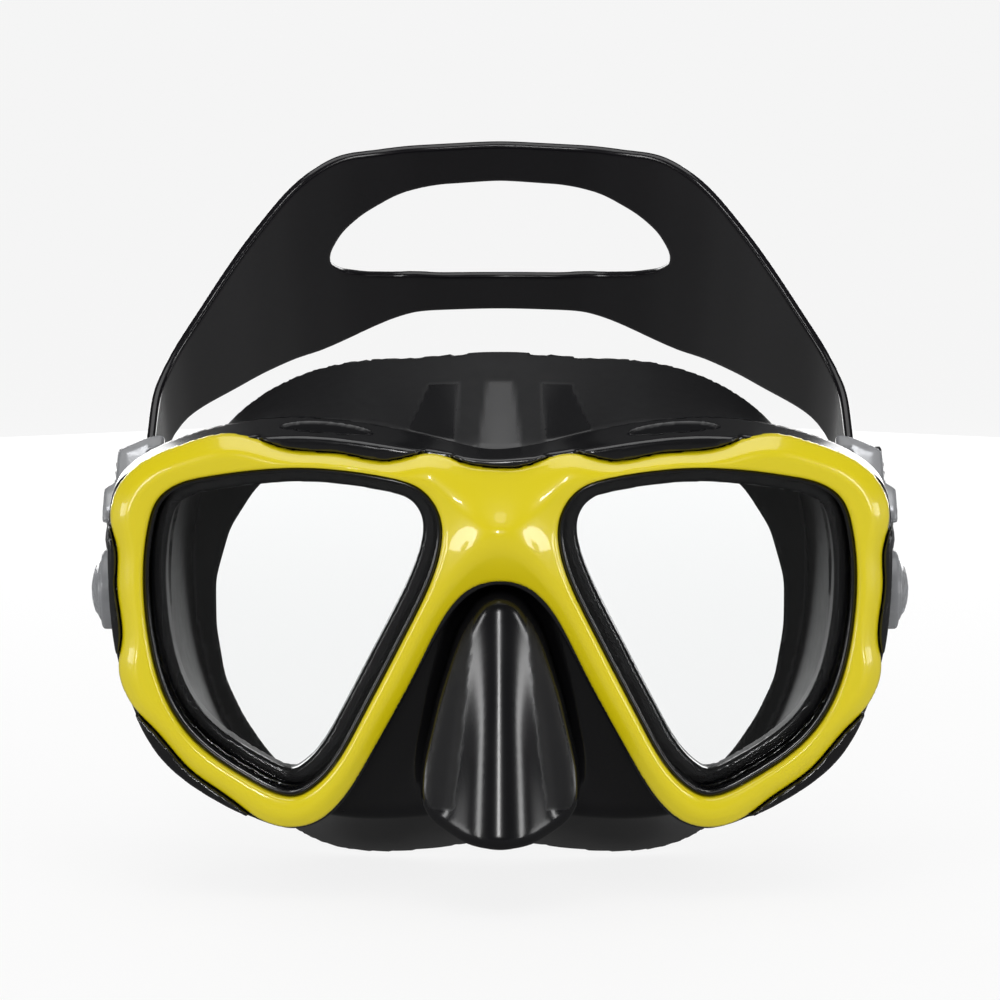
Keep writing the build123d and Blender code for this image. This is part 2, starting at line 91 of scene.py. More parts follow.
joints = {joint["name"]: joint for joint in frame["joints"]}
PIVOT = 1000 * np.array(joints["strap_swing"]["pos_m"])
V_AXIS = np.array(joints["roller_spin_left"]["axis"])
V_AXIS /= np.linalg.norm(V_AXIS)
U_AXIS = np.cross(V_AXIS, [1.0, 0.0, 0.0])
ROLLER = 1000 * np.array(joints["roller_spin_left"]["pos_m"])


# ---------------------------------------------------------------- outlines from the CAD nodes
def cad_mesh(node):
    """Welded vertices, in millimetres, and triangles of a CAD node."""
    mesh = frame["nodes"][node].data
    mesh.calc_loop_triangles()
    points = np.empty(3 * len(mesh.vertices))
    mesh.vertices.foreach_get("co", points)
    corners = np.empty(3 * len(mesh.loop_triangles), int)
    mesh.loop_triangles.foreach_get("vertices", corners)
    points, place = np.unique(np.round(1000 * points.reshape(-1, 3), 3), axis=0, return_inverse=True)
    return points, place.reshape(-1)[corners].reshape(-1, 3)


def sheet_outlines(node, wanted):
    """Closed outlines, as (x, z), of the sheet of faces that `wanted(centre, normal)` picks."""
    points, triangles = cad_mesh(node)
    a, b, c = (points[triangles[:, i]] for i in range(3))
    normal = np.cross(b - a, c - a)
    area = np.linalg.norm(normal, axis=1)
    solid = area > 1e-9
    triangles, a, b, c = triangles[solid], a[solid], b[solid], c[solid]
    normal = normal[solid] / area[solid, None]
    picked = triangles[wanted((a + b + c) / 3, normal)]
    edges = np.concatenate([picked[:, [0, 1]], picked[:, [1, 2]], picked[:, [2, 0]]])
    directed = set(map(tuple, edges.tolist()))
    following = {tail: head for tail, head in directed if (head, tail) not in directed}
    loops = []
    while following:
        start, here = following.popitem()
        loop = [start]
        while here != start and here in following:
            loop.append(here)
            here = following.pop(here)
        loops.append(points[loop][:, [0, 2]])
    return sorted(loops, key=lambda loop: np.ptp(loop, axis=0).sum(), reverse=True)


NEIGHBOURS = 8  # angle steps on each side
INNER_WALL_GAP = 1.2  # a radius this much smaller than a neighbour's is on the wall's inner face


def section_radii(node, y, count):
    """Outermost radius of a CAD node's section at depth y, from the Y axis, at `count` even angles."""
    points, triangles = cad_mesh(node)
    found = []
    for first, second in ((0, 1), (1, 2), (2, 0)):
        a, b = points[triangles[:, first]], points[triangles[:, second]]
        crossing = (a[:, 1] - y) * (b[:, 1] - y) < 0
        a, b = a[crossing], b[crossing]
        share = ((y - a[:, 1]) / (b[:, 1] - a[:, 1]))[:, None]
        found.append((a + share * (b - a))[:, [0, 2]])
    found = np.concatenate(found)
    turn = np.arctan2(found[:, 0], found[:, 1])
    radius = np.hypot(found[:, 0], found[:, 1])
    farthest = np.zeros(count)
    np.maximum.at(farthest, (turn / (2 * pi) * count).astype(int) % count, radius)
    shifts = range(-NEIGHBOURS, NEIGHBOURS + 1)
    nearby = np.max([np.roll(farthest, shift) for shift in shifts], axis=0)
    known = np.flatnonzero(farthest > nearby - INNER_WALL_GAP)
    return np.interp(np.arange(count), known, farthest[known], period=count)


def blurred(values, width, closed):
    """Gaussian blur down a list of points or values, `width` steps wide."""
    reach = int(3 * width) + 1
    weights = np.exp(-0.5 * (np.arange(-reach, reach + 1) / width) ** 2)
    weights /= weights.sum()
    flat = values.reshape(len(values), -1)
    ends = flat[-reach:], flat[:reach]
    if not closed:
        ends = 2 * flat[0] - flat[reach:0:-1], 2 * flat[-1] - flat[-2 : -reach - 2 : -1]
    padded = np.concatenate([ends[0], flat, ends[1]])
    smooth = [np.convolve(column, weights, "valid") for column in padded.T]
    return np.stack(smooth, axis=1).reshape(values.shape)


def resampled(points, step, closed=True):
    """A path's points, evenly spaced about `step` apart."""
    path = np.vstack([points, points[:1]]) if closed else np.asarray(points, float)
    run = np.r_[0, np.cumsum(np.linalg.norm(np.diff(path, axis=0), axis=1))]
    count = int(round(run[-1] / step))
    places = np.linspace(0, run[-1], count, endpoint=False) if closed else np.linspace(0, run[-1], count + 1)
    return np.stack([np.interp(places, run, path[:, i]) for i in range(path.shape[1])], axis=1)


def smooth_outline(loop, step=0.5, blur=0.8):
    """An even, slightly blurred copy of a closed outline; blur is in millimetres."""
    return blurred(resampled(loop, step), blur / step, closed=True)


# ---------------------------------------------------------------- smooth fields
def outline_distance(u, v, loop):
    """Signed distance from points to a closed outline, negative inside."""
    nearest = np.full(u.shape, 1e9)
    inside = np.zeros(u.shape, bool)
    for (au, av), (bu, bv) in zip(loop, np.roll(loop, -1, axis=0)):
        du, dv = bu - au, bv - av
        share = np.clip(((u - au) * du + (v - av) * dv) / (du * du + dv * dv + 1e-12), 0, 1)
        nearest = np.minimum(nearest, (u - au - share * du) ** 2 + (v - av - share * dv) ** 2)
        if dv:
            inside ^= ((v > av) != (v > bv)) & (u < au + (v - av) * du / dv)
    return np.where(inside, -1, 1) * np.sqrt(nearest)


class Sheet:
    """A smooth function of two coordinates, held on an even grid and read with cubic B-splines."""

    def __init__(self, low, high, step, function):
        self.low, self.step = np.array(low, float), step
        counts = [int(np.ceil((h - l) / step)) + 1 for l, h in zip(low, high)]
        axes = [l + step * np.arange(n) for l, n in zip(low, counts)]
        self.values = function(*np.meshgrid(*axes, indexing="ij"))

    def __call__(self, u, v):
        u, v = np.broadcast_arrays(u, v)
        total = 0
        sides = []
        for axis, value in enumerate((u, v)):
            place = np.clip((value - self.low[axis]) / self.step, 1, self.values.shape[axis] - 2.001)
            cell = place.astype(int)
            f = place - cell
            weights = ((1 - f) ** 3, 3 * f**3 - 6 * f**2 + 4, -3 * f**3 + 3 * f**2 + 3 * f + 1, f**3)
            sides.append((cell, [weight / 6 for weight in weights]))
        (i, wi), (j, wj) = sides
        last = self.values.shape[1] - 1
        for a, b in product(range(4), range(4)):
            column = np.minimum(j + b - 1, last)
            row = np.minimum(i + a - 1, self.values.shape[0] - 1)
            total = total + wi[a] * wj[b] * self.values[row, column]
        return total


def round_and(a, b, radius):
    """Where both fields are negative, with the edge between them rounded to `radius`."""
    outer = np.hypot(np.maximum(a + radius, 0), np.maximum(b + radius, 0))
    return np.minimum(np.maximum(a, b), -radius) + outer


def round_or(a, b, radius):
    """Where either field is negative, with the inside corner between them filled to `radius`."""
    return -round_and(-a, -b, radius)


def soft_min(a, b, width):
    """The smaller of two values, blended over `width`."""
    share = np.clip(0.5 + 0.5 * (b - a) / width, 0, 1)
    return b + (a - b) * share - width * share * (1 - share)


def ramp(value, start, end):
    """0 before start, 1 after end, smooth between."""
    share = np.clip((value - start) / (end - start), 0, 1)
    return share * share * (3 - 2 * share)


def bump(x, z, centre, size):
    """A smooth hill of height 1 at `centre`, with a spread in x and one in z."""
    return np.exp(-((x - centre[0]) / size[0]) ** 2 - ((z - centre[1]) / size[1]) ** 2)


def block(a, b, c, low, high, radius):
    """Distance to a box with rounded edges."""
    q = []
    for value, lower, upper in zip((a, b, c), low, high):
        q.append(np.abs(value - (lower + upper) / 2) - (upper - lower) / 2 + radius)
    outside = np.sqrt(sum(np.maximum(part, 0) ** 2 for part in q))
    return outside + np.minimum(np.maximum(np.maximum(q[0], q[1]), q[2]), 0) - radius


def depth(x, y):
    """How far a point is behind the curved reference surface."""
    return WRAP_RADIUS - np.hypot(x, WRAP_RADIUS - y)


LENS_TURN = atan2(LENS_CENTRE_X, WRAP_RADIUS)
LENS_BACKSET = WRAP_RADIUS - (WRAP_RADIUS**2 - LENS_CENTRE_X**2) ** 0.5


def lens_depth(x, y):
    """How far a point is behind the plane through its own lens's centre, turned with the lens."""
    return -sin(LENS_TURN) * (np.abs(x) - LENS_CENTRE_X) + cos(LENS_TURN) * (y - LENS_BACKSET)


# ---------------------------------------------------------------- meshing
def surface_nets(field, low, high, step):
    """Vertices and quads of the surface where field(x, y, z) is zero inside a box."""
    axes = [np.arange(l, h + s, s) for l, h, s in zip(low, high, step)]
    values = np.empty([len(axis) for axis in axes], np.float32)
    for i, x in enumerate(axes[0]):
        y, z = np.meshgrid(axes[1], axes[2], indexing="ij")
        values[i] = field(np.full(y.shape, x), y, z)
    inside = values < 0
    shape = np.array(values.shape)
    totals = np.zeros((values.size, 3))
    counts = np.zeros(values.size)
    faces = []
    for axis in range(3):
        lower = [slice(None)] * 3
        upper = [slice(None)] * 3
        lower[axis], upper[axis] = slice(0, -1), slice(1, None)
        lower, upper = tuple(lower), tuple(upper)
        where = np.argwhere(inside[lower] != inside[upper])
        others = [other for other in range(3) if other != axis]
        where = where[(where[:, others] > 0).all(1) & (where[:, others] < shape[others] - 1).all(1)]
        start = values[lower][tuple(where.T)]
        end = values[upper][tuple(where.T)]
        crossing = where.astype(float)
        crossing[:, axis] += start / (start - end)
        cells = []
        for shift in ((1, 1), (0, 1), (0, 0), (1, 0)):
            cell = where.copy()
            cell[:, others] -= shift
            flat = np.ravel_multi_index(cell.T, values.shape)
            cells.append(flat)
            for i in range(3):
                totals[:, i] += np.bincount(flat, crossing[:, i], values.size)
            counts += np.bincount(flat, minlength=values.size)
        quads = np.stack(cells, axis=1)
        flip = (start < 0) != (axis == 1)
        quads[~flip] = quads[~flip][:, ::-1]
        faces.append(quads)
    used = np.flatnonzero(counts)
    number = np.full(values.size, -1)
    number[used] = np.arange(len(used))
    points = totals[used] / counts[used, None] * np.array(step) + np.array(low)
    return points, number[np.concatenate(faces)]


SETTLE_ROUNDS = 4
PROBE = 0.02  # half the step over which a field's slope is measured
LEAST_SLOPE = 0.05  # squared, so that flat spots don't throw points far


def settle(points, field, reach):
    """Moves points onto the field's zero surface, each by at most `reach` a round."""
    for _ in range(SETTLE_ROUNDS):
        value = field(*points.T)
        changes = []
        for axis in np.eye(3):
            changes.append(field(*(points + PROBE * axis).T) - field(*(points - PROBE * axis).T))
        slope = np.stack(changes, axis=1) / (2 * PROBE)
        length = np.maximum((slope**2).sum(1), LEAST_SLOPE)
        move = -(value / length)[:, None] * slope
        size = np.linalg.norm(move, axis=1, keepdims=True)
        points = points + move * np.minimum(1, reach / np.maximum(size, 1e-9))
    return points


def evened(points, quads, rounds):
    """Light smoothing that evens the spacing of a quad mesh."""
    edges = np.concatenate([quads[:, [i, (i + 1) % 4]] for i in range(4)])
    for _ in range(rounds):
        total = np.zeros_like(points)
        for i in range(3):
            total[:, i] = np.bincount(edges[:, 0], points[edges[:, 1], i], len(points))
            total[:, i] += np.bincount(edges[:, 1], points[edges[:, 0], i], len(points))
        count = np.bincount(edges.reshape(-1), minlength=len(points))
        points = 0.5 * points + 0.5 * total / count[:, None]
    return points


def largest_part(points, quads):
    """Only the biggest connected piece of a mesh."""
    label = np.arange(len(points))
    while True:
        lowest = label[quads].min(1)
        fresh = label.copy()
        np.minimum.at(fresh, quads.reshape(-1), np.repeat(lowest, 4))
        fresh = fresh[fresh]
        if (fresh == label).all():
            break
        label = fresh
    keep = label == np.bincount(label).argmax()
    number = np.cumsum(keep) - 1
    return points[keep], number[quads[keep[quads[:, 0]]]]


def mesh_object(name, points, faces):
    """A smooth-shaded mesh object from points in millimetres."""
    mesh = bpy.data.meshes.new(name)
    mesh.from_pydata((points / 1000).tolist(), [], np.asarray(faces).tolist())
    mesh.validate()
    mesh.update()
    mesh.polygons.foreach_set("use_smooth", np.ones(len(mesh.polygons), bool))
    obj = bpy.data.objects.new(name, mesh)
    bpy.context.scene.collection.objects.link(obj)
    return obj


def shell(name, field, low, high, step, warp=None):
    """The mesh object of a field's surface, optionally bent by `warp` once it is meshed."""
    steps = (step,) * 3 if np.isscalar(step) else step
    points, quads = surface_nets(field, low, high, steps)
    for _ in range(2):
        points = settle(evened(points, quads, 1), field, min(steps))
    points, quads = largest_part(points, quads)
    if warp:
        points = warp(points)
    return mesh_object(name, points, quads)


def mirrored_copy(obj, name):
    """The mirror image, about x = 0, of a left-hand object."""
    mesh = obj.data.copy()
    points = np.empty(3 * len(mesh.vertices))
    mesh.vertices.foreach_get("co", points)
    points[::3] *= -1
    mesh.vertices.foreach_set("co", points)
    mesh.flip_normals()
    mesh.name = name
    twin = bpy.data.objects.new(name, mesh)
    bpy.context.scene.collection.objects.link(twin)
    return twin


# ---------------------------------------------------------------- the outlines everything shares
PLATE_LOW, PLATE_HIGH = (-98.0, -58.0), (98.0, 58.0)


def faces_front(centre, normal):
    return normal[:, 1] < -0.5


def frame_rear(centre, normal):
    return (normal[:, 1] > 0.5) & (depth(centre[:, 0], centre[:, 1]) > FRAME_BACK - 0.3)


bezel_loop, *window_loops = [smooth_outline(loop) for loop in sheet_outlines("front_bezel", faces_front)]
frame_loop = smooth_outline(sheet_outlines("main_frame", frame_rear)[0])
left_window = max(window_loops, key=lambda loop: loop[:, 0].mean())


def window_gap(x, z):
    """Distance outside the nearer window opening; negative in the opening."""
    return outline_distance(np.abs(x), z, left_window)


bezel_edge = Sheet(PLATE_LOW, PLATE_HIGH, 0.5, lambda x, z: outline_distance(x, z, bezel_loop))
frame_edge = Sheet(PLATE_LOW, PLATE_HIGH, 0.5, lambda x, z: outline_distance(x, z, frame_loop))
window_edge = Sheet(PLATE_LOW, PLATE_HIGH, 0.5, window_gap)

# ---------------------------------------------------------------- front bezel
RIDGE_HEIGHT, WINDOW_HEIGHT = 4.9, 3.6  # in front of the reference surface
OUTER_HEIGHT, OUTER_SLOPE = 0.7, 1.05
FRONT_RUN, FRONT_LIMIT = 7.0, 1.6  # RIDGE_HEIGHT is reached this far from a window, and passed a little
BRIDGE_SLOPE_DROP = 0.62  # the top slope is this much gentler over the bridge
BRIDGE_BULGE = 3.4
CREST_BLEND, BRIDGE_BLEND = 1.8, 2.2  # how widely the two slopes melt into each other
BRIDGE_TOP = (0, 36), (14, 16)  # hills, as their centre and spread
BRIDGE_MIDDLE = (0, 18), (8.5, 9)
BRIDGE_CREST = (0, 30), (16, 12)
BEZEL_EDGE_ROUND, BEZEL_FRONT_ROUND, BEZEL_BACK_ROUND = 0.5, 0.9, 0.2
BEZEL_STEEPNESS = 0.85  # brings the sloping front's field back to true distance


def bezel_height(x, z):
    """How far the bezel's front stands out: a ridge near the outer edge, falling gently to the windows."""
    outer, window = -bezel_edge(x, z), window_edge(x, z)
    outside_slope = OUTER_SLOPE * (1 - BRIDGE_SLOPE_DROP * bump(x, z, *BRIDGE_TOP))
    top = OUTER_HEIGHT + outside_slope * outer
    front = WINDOW_HEIGHT + (RIDGE_HEIGHT - WINDOW_HEIGHT) * np.clip(window / FRONT_RUN, 0, FRONT_LIMIT)
    front = front + BRIDGE_BULGE * bump(x, z, *BRIDGE_MIDDLE)
    return soft_min(top, front, CREST_BLEND + BRIDGE_BLEND * bump(x, z, *BRIDGE_CREST))


bezel_front = Sheet(PLATE_LOW, PLATE_HIGH, 0.5, bezel_height)


def bezel_field(x, y, z):
    """The bezel: its outline less the windows, between the shaped front and a plain back."""
    t = depth(x, y)
    edge = round_and(bezel_edge(x, z), -window_edge(x, z), BEZEL_EDGE_ROUND)
    body = round_and(edge, (-bezel_front(x, z) - t) * BEZEL_STEEPNESS, BEZEL_FRONT_ROUND)
    return round_and(body, t - BEZEL_BACK, BEZEL_BACK_ROUND)


low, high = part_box("front_bezel")
bezel = shell(
    "bezel_shell",
    bezel_field,
    (-88, 1000 * low.y - 4, 1000 * low.z - 3),
    (88, 1000 * high.y + 2, 1000 * high.z + 3),
    0.6,
)
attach(bezel, "mask")
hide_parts("front_bezel")


# ---------------------------------------------------------------- main frame
PAD_FRONT = -1.3
SEAT_GAP = 0.3
POCKET_MARGIN, LEDGE_MARGIN = 1.2, -0.9
BROW_DRAFT, SIDE_DRAFT = 0.31, 0.04  # how far the outer wall leans in, per mm forwards
BROW_START, BROW_FULL = 30, 42  # the lean grows between these heights
DIP_DRAFT_DROP, BROW_DIP = 0.7, ((0, 39), (14, 20))  # and is less at the dip in the brow
PAD_FLOOR, PAD_HALF_WIDTH = 14, 32  # the rim of the nose arch, inside these, is too thin for a pad
FRAME_ROUND, PAD_ROUND, POCKET_ROUND = 0.8, 0.3, 0.2
BADGE_X, BADGE_DEPTH, BADGE_SIZE, BADGE_SINK = 37.5, 4.6, (9.5, 2.3), 0.5
EAR_ROOT_Y, PIN_HOLE = 16.2, 3.05


def ear_field(x, y, z):
    """The ear on each side that carries a buckle's swivel pin."""
    from_pin = np.hypot(np.maximum(PIVOT[1] - y, 0) - np.minimum(PIVOT[1] - y, 0), z - PIVOT[2])
    along = np.where(y < PIVOT[1], np.abs(z - PIVOT[2]), from_pin)
    plate = np.abs(np.abs(x) - (EAR_INNER + EAR_OUTER) / 2) - (EAR_OUTER - EAR_INNER) / 2
    ear = round_and(round_and(along - EAR_RADIUS, plate, 0.5), EAR_ROOT_Y - y, 0.1)
    return np.maximum(ear, PIN_HOLE - np.hypot(y - PIVOT[1], z - PIVOT[2]))


def frame_field(x, y, z):
    """The frame: a plate with leaning sides, pads in the bezel's notches and a pocket for each lens."""
    t = depth(x, y)
    window = window_edge(x, z)
    less = 1 - DIP_DRAFT_DROP * bump(x, z, *BROW_DIP)
    draft = SIDE_DRAFT + (BROW_DRAFT - SIDE_DRAFT) * ramp(z, BROW_START, BROW_FULL) * less
    outer = (frame_edge(x, z) + draft * (FRAME_BACK - t)) / (1 + draft * draft) ** 0.5
    over_nose = ramp(PAD_FLOOR - z, 0, 4) * ramp(PAD_HALF_WIDTH - np.abs(x), 0, 5)
    pad_front = PAD_FRONT + (BEZEL_SEAT - PAD_FRONT) * over_nose
    pad = round_and(pad_front - t, SEAT_GAP - bezel_edge(x, z), PAD_ROUND)
    front = np.minimum(BEZEL_SEAT - t, pad)
    body = round_and(outer, front, FRAME_ROUND)
    body = round_and(body, t - FRAME_BACK, FRAME_ROUND)
    badge = np.hypot((np.abs(x) - BADGE_X) / BADGE_SIZE[0], (t - BADGE_DEPTH) / BADGE_SIZE[1]) - 1
    badge = np.where(z > 0, badge * BADGE_SIZE[1], 9.0)
    body = np.maximum(body, np.minimum(-badge, outer + BADGE_SINK))
    hole = np.minimum(POCKET_MARGIN - window, np.maximum(LEDGE_MARGIN - window, LEDGE_FRONT - t))
    body = round_and(body, hole, POCKET_ROUND)
    return np.minimum(body, ear_field(x, y, z))


main_frame = shell("frame_shell", frame_field, (-89, -5, -48), (89, 39, 49), 0.65)
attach(main_frame, "mask")
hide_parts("main_frame")

# ---------------------------------------------------------------- lens retainers
RIM_OUTER, RIM_INNER, RIM_FRONT, RIM_ROUND = -0.2, -1.15, -1.9, 0.4
RIM_BACK = LENS_FRONT - 0.1


def lens_plane_y(x, behind):
    """Where the plane `behind` the left lens's tangent plane lies at x."""
    return LENS_BACKSET + (behind + sin(LENS_TURN) * (x - LENS_CENTRE_X)) / cos(LENS_TURN)


def wrapped_y(x, behind):
    """Where the surface `behind` the curved reference surface lies at x."""
    return WRAP_RADIUS - np.sqrt((WRAP_RADIUS - behind) ** 2 - x**2)


def ring_object(name, loop, corners):
    """A ring that follows a loop; `corners` gives each point of its section as (offset, y of x)."""
    ahead = np.roll(loop, -1, axis=0) - np.roll(loop, 1, axis=0)
    ahead /= np.linalg.norm(ahead, axis=1, keepdims=True)
    out = np.stack([ahead[:, 1], -ahead[:, 0]], axis=1)
    if outline_distance(*(loop[:1] + out[:1]).T, loop)[0] < 0:
        out = -out
    rings = []
    for offset, y_of in corners:
        place = loop + offset * out
        rings.append(np.stack([place[:, 0], y_of(place[:, 0]), place[:, 1]], axis=1))
    count, sides = len(loop), len(rings)
    index = np.arange(count)
    faces = []
    for k in range(sides):
        a, b = k * count, (k + 1) % sides * count
        after = (index + 1) % count
        faces.append(np.stack([a + index, a + after, b + after, b + index], axis=1))
    return mesh_object(name, np.concatenate(rings), np.concatenate(faces))


def retainer(name):
    """The thin black rim that holds the left lens, with a rounded front."""
    def at_lens(x):
        return lens_plane_y(x, RIM_BACK)

    middle = (RIM_OUTER + RIM_INNER) / 2
    half = (RIM_OUTER - RIM_INNER) / 2
    corners = [(RIM_OUTER, at_lens)]
    for turn in np.linspace(0, pi, 9):
        behind = RIM_FRONT + RIM_ROUND - RIM_ROUND * sin(turn)
        corners.append((middle + half * cos(turn), lambda x, behind=behind: wrapped_y(x, behind)))
    corners.append((RIM_INNER, at_lens))
    return ring_object(name, left_window, corners)


retainer_left = retainer("rim_left")
retainer_right = mirrored_copy(retainer_left, "rim_right")
for rim, side in ((retainer_left, "left"), (retainer_right, "right")):
    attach(rim, "mask")
    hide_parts(f"lens_retainer_{side}")

# ---------------------------------------------------------------- skirt
SKIRT_FRONT, SKIRT_FRONT_BACK = 9.9, 12.1
SKIRT_WALL, LIP_THICK = 2.1, 1.9
SEAT_OUTER, SEAT_INNER = -1.0, -4.3
NEAR_SECTION, FAR_SECTION = 21.0, 36.0  # the depths at which the CAD's side wall is measured
ANGLES = 720
FOREHEAD_RISE, FOREHEAD_SPREAD = 1.5, 0.36  # millimetres, and radians from straight up
NOSE_BACK, LIP_FRONT = 22, FACE_FRONT - 8  # where the nose pocket ends and where the mouth starts, as y
SKIRT_ROUND, CAVITY_ROUND, FACE_ROUND, MOUTH_ROUND = 3.0, 2.0, 0.8, 0.5
NOSE_FILLET, NOSE_FILLET_INSIDE = 3.0, 1.5
SEAT_GRIP, OVERLAP = 0.1, 1  # the seat stops this far behind the glass; cuts run on past a wall by the other
LIP_OPENING = [
    (0, 40), (18, 40), (34, 38), (47, 32.5), (56, 24.5), (62, 15), (65.5, 3), (65.5, -8), (63.5, -20),
    (59.3, -28.5), (54.3, -35.5), (48, -42), (38, -47), (24, -48), (0, -46),
]
NOSE_OUTLINE = [
    (0, 9), (5, 7.2), (9.3, 0), (13.6, -14), (17, -29), (17.3, -36), (14.4, -40.8), (8, -44), (0, -44.9),
]
RIDGE_OUTLINE = [  # the polished strip between the nose pocket's satin flanks
    (0, 8.6), (4, 7.4), (5.2, 0), (6.4, -14), (7.9, -28), (9.3, -38), (8.3, -42), (5, -43.8), (0, -44.2),
]
NOSE_BODY_Y = ((8, 1.5), (-38, -8.5))  # (z, y) of the nose pocket's flanks, top and bottom
NOSE_RIDGE_Y = ((8, 0.0), (-38, -14.5))  # and of its ridge
RIDGE_CROWN = ((8, 7.0), (-38, 10.0))  # the radius of the ridge's crown, top and bottom
RIDGE_BLEND = 3.2  # how widely the ridge melts into the flanks
NOSE_WALL, NOSE_ROUND = 1.9, 3.2


def whole(half):
    """The smooth closed loop of a left half whose ends lie on the symmetry plane."""
    right = [(-x, z) for x, z in reversed(half[1:-1])]
    return smooth_outline(np.array(half + right, float), blur=1.8)


def even_radii(y):
    """The skirt's outer radius at depth y, at even angles and the same on both sides."""
    radii = section_radii("skirt", y, ANGLES)
    radii = (radii + np.roll(radii[::-1], 1)) / 2
    return blurred(radii, 5.0, closed=True)


near_radii, far_radii = even_radii(NEAR_SECTION), even_radii(FAR_SECTION)
turns = 2 * pi * np.arange(ANGLES) / ANGLES
far_radii += FOREHEAD_RISE * np.exp(-((np.minimum(turns, 2 * pi - turns) / FOREHEAD_SPREAD) ** 2))
lean = np.gradient(np.r_[near_radii, near_radii[:1]], 2 * pi / ANGLES)[:-1] / near_radii
steepness = 1 / np.sqrt(1 + blurred(lean, 4.0, closed=True) ** 2)
nose_edge = Sheet((-40, -60), (40, 30), 0.5, lambda x, z: outline_distance(x, z, whole(NOSE_OUTLINE)))
ridge_edge = Sheet((-40, -60), (40, 30), 0.5, lambda x, z: outline_distance(x, z, whole(RIDGE_OUTLINE)))
lip_edge = Sheet((-90, -75), (90, 75), 0.6, lambda x, z: outline_distance(x, z, whole(LIP_OPENING)))


def skirt_side(x, y, z):
    """Distance outside the skirt's tapering side wall."""
    turn = np.arctan2(x, z)
    near = np.interp(turn, turns, near_radii, period=2 * pi)
    far = np.interp(turn, turns, far_radii, period=2 * pi)
    radius = near + (far - near) * (y - NEAR_SECTION) / (FAR_SECTION - NEAR_SECTION)
    return (np.hypot(x, z) - radius) * np.interp(turn, turns, steepness, period=2 * pi)


def along(z, ends):
    """A value that runs straight through two (z, value) ends, and levels off a little beyond them."""
    (z0, low), (z1, high) = ends
    return low + (high - low) * np.clip((z - z0) / (z1 - z0), -0.1, 1.2)


def nose_field(x, y, z):
    """The nose pocket: two flanks with a rounded ridge swelling out between them."""
    crown = along(z, NOSE_RIDGE_Y) + x * x / (2 * along(z, RIDGE_CROWN))
    front = soft_min(along(z, NOSE_BODY_Y), crown, RIDGE_BLEND)
    return round_and(nose_edge(x, z), front - y, NOSE_ROUND)


def skirt_field(x, y, z):
    """The side wall, the lens seats and the nose pocket, hollowed out and cut to the face."""
    t = depth(x, y)
    side = skirt_side(x, y, z)
    window = window_edge(x, z)
    face = FACE_RADIUS - np.hypot(x, y - FACE_FRONT - FACE_RADIUS)  # negative in front of the face
    nose = nose_field(x, y, z)
    nose_back = y - NOSE_BACK
    outer = round_and(side, SKIRT_FRONT - t, SKIRT_ROUND)
    outer = round_or(outer, np.maximum(nose, nose_back), NOSE_FILLET)
    seat = np.maximum(window - SEAT_OUTER, LENS_BACK + SEAT_GRIP - lens_depth(x, y))
    outer = np.minimum(outer, np.maximum(seat, t - SKIRT_FRONT - OVERLAP))
    cavity = round_and(side + SKIRT_WALL, SKIRT_FRONT_BACK - t, CAVITY_ROUND)
    cavity = np.maximum(cavity, face + LIP_THICK)
    cavity = round_or(cavity, np.maximum(nose + NOSE_WALL, nose_back), NOSE_FILLET_INSIDE)
    mouth = np.maximum(lip_edge(x, z), LIP_FRONT - y)
    opening = np.maximum(window - SEAT_INNER, t - SKIRT_FRONT_BACK - OVERLAP)
    hollow = np.minimum(np.minimum(cavity, mouth), opening)
    body = round_and(outer, face, FACE_ROUND)
    return round_and(body, -hollow, MOUTH_ROUND)


skirt = shell("skirt_shell", skirt_field, (-80, -19, -72), (80, 66, 66), 0.9)
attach(skirt, "mask")
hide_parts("skirt")

# ---------------------------------------------------------------- strap
STRAP_BEND = 3.1  # the radius at which the strap's middle turns round the roller
STRAP_EDGE_ROUND, HOLE_EDGE_ROUND = 0.8, 0.4
TAIL_END, BUCKLE_END = 31.5, 34.0  # these are u, behind the swivel axis along the strap
STRAP_SIDE_RUN = [
    (78.6, 48), (74.2, 58.5), (66.6, 69), (58.4, 80), (49, 90.5), (37, 99), (22, 104.4), (0, 105.6),
]
STRAP_HALF_WIDTHS = [  # (distance from the middle of the back, half width)
    (0, 30.4), (20, 30), (29, 31.2), (38, 33.6), (47.5, 32.6), (54, 29.8), (63, 26), (76, 20.6), (86, 15.8),
    (95, 12.4), (104, 11), (400, 11),
]
HOLE_QUARTER = [(0, 17.6), (15, 16.9), (25, 14.8), (33, 11.4), (39, 7.2), (42.5, 2)]
TOOTH_FIRST, TOOTH_PITCH, TOOTH_COUNT = 21.8, 2.4, 4
TOOTH_HEIGHT, TOOTH_HALF_THICK, TOOTH_HALF_WIDTH, TOOTH_ROUND = 0.6, 0.6, 8.0, 0.25

roller_u = (ROLLER - PIVOT) @ U_AXIS


def strap_path():
    """Left half of the strap in plan, as (x, u), from the middle of the back to the end of the tail."""
    inner_x, outer_x = ROLLER[0] - STRAP_BEND, ROLLER[0] + STRAP_BEND
    back = [(-x, u) for x, u in STRAP_SIDE_RUN[-3:-1]]
    curve = np.array(back + STRAP_SIDE_RUN[::-1] + [(inner_x, BUCKLE_END)], float)
    curve = blurred(resampled(curve, 0.5, closed=False), 7.0, closed=False)
    curve = curve[curve[:, 0] > 0]
    bend = []
    for turn in np.linspace(0, pi, 25):
        bend.append((ROLLER[0] - STRAP_BEND * cos(turn), roller_u - STRAP_BEND * sin(turn)))
    path = np.concatenate([[(0, curve[0, 1])], curve, bend, [(outer_x, TAIL_END)]])
    return blurred(resampled(path, 0.25, closed=False), 2.0, closed=False)


